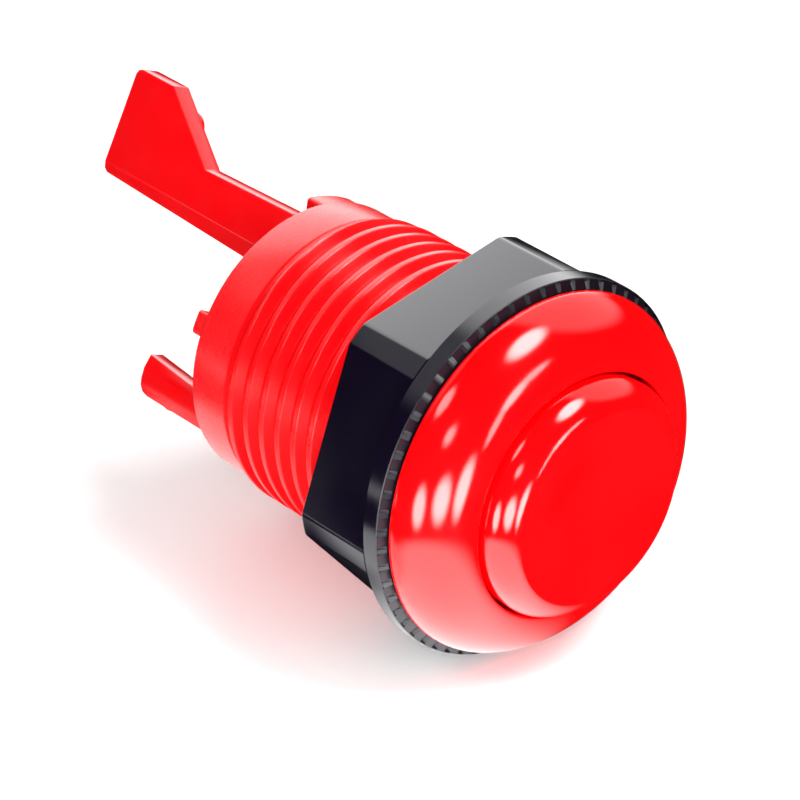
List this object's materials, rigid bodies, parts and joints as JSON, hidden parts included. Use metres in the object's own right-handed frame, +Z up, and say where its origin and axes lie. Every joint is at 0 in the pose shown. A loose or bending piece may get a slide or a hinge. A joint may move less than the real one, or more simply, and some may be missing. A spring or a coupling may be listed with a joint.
{
  "type": "panel push button",
  "caption": "Round push button for a panel hole: domed bezel, concave spring plunger, threaded barrel, serrated flange nut and two switch arms.",
  "frame": {"origin": "on the button's axis, in the plane of the bezel's back face, which seats on the panel", "axes": "+Y along the button's axis from the bezel towards the barrel's rear, so the plunger faces -Y; +Z up, with the switch arms turned 23.6 degrees about the axis"},
  "size_m": [0.035, 0.0627, 0.0355],
  "materials": {
    "red_plastic": "smooth glossy moulding, matte on the thread",
    "black_plastic": "glossy moulding",
    "spring_steel": "drawn wire"
  },
  "bodies": {
    "housing_body": {"housing": "red_plastic", "return_spring": "spring_steel"},
    "nut_body": {"panel_nut": "black_plastic"},
    "plunger_body": {"plunger": "red_plastic"}
  },
  "joints": [
    {"name": "plunger_press", "type": "slide", "parent": "housing_body", "child": "plunger_body", "axis": [0, 1, 0], "range_m": [0, 0.003], "stiffness_N_per_m": 150, "springref_m": -0.006, "deforming": ["return_spring"]},
    {"name": "nut_travel", "type": "slide", "parent": "housing_body", "child": "nut_body", "axis": [0, 1, 0], "range_m": [0, 0.015]}
  ]
}
